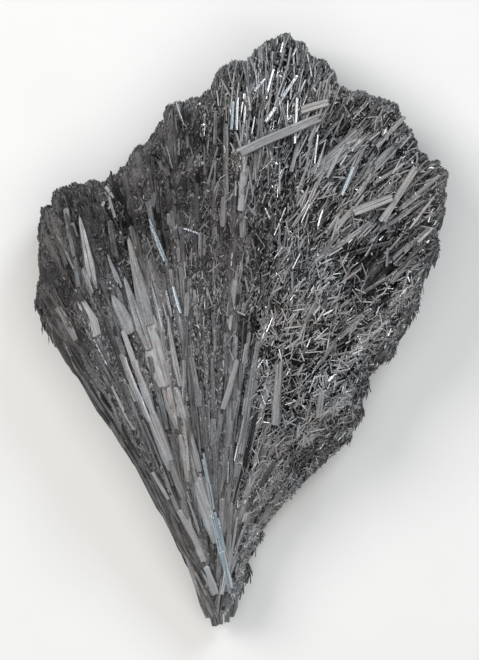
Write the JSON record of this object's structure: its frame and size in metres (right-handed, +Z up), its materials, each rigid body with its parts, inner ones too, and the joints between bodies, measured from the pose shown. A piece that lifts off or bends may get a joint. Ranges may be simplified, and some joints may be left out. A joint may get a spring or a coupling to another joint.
{
  "type": "stibnite crystal spray",
  "caption": "Fan-shaped spray of long, flattened, lead-grey metallic crystals grown from one root, lying on its flat back; a display mineral specimen.",
  "frame": {"origin": "under the middle of the spray's bounding box, on the surface that it rests on", "axes": "+Y from the root to the fan's ends, +Z up from the resting face to the open bladed face, +X to the right of the open face"},
  "size_m": [0.0622, 0.0888, 0.0249],
  "materials": {
    "stibnite": "satin",
    "bright_stibnite": "gloss"
  },
  "bodies": {
    "root": {"crystal_spray": "stibnite", "long_cross_lath": "bright_stibnite", "short_cross_lath": "bright_stibnite", "slender_cross_lath": "bright_stibnite", "right_cross_lath": "bright_stibnite", "steep_cross_lath": "bright_stibnite", "middle_upright_lath": "bright_stibnite", "lower_upright_lath": "bright_stibnite"}
  },
  "joints": []
}
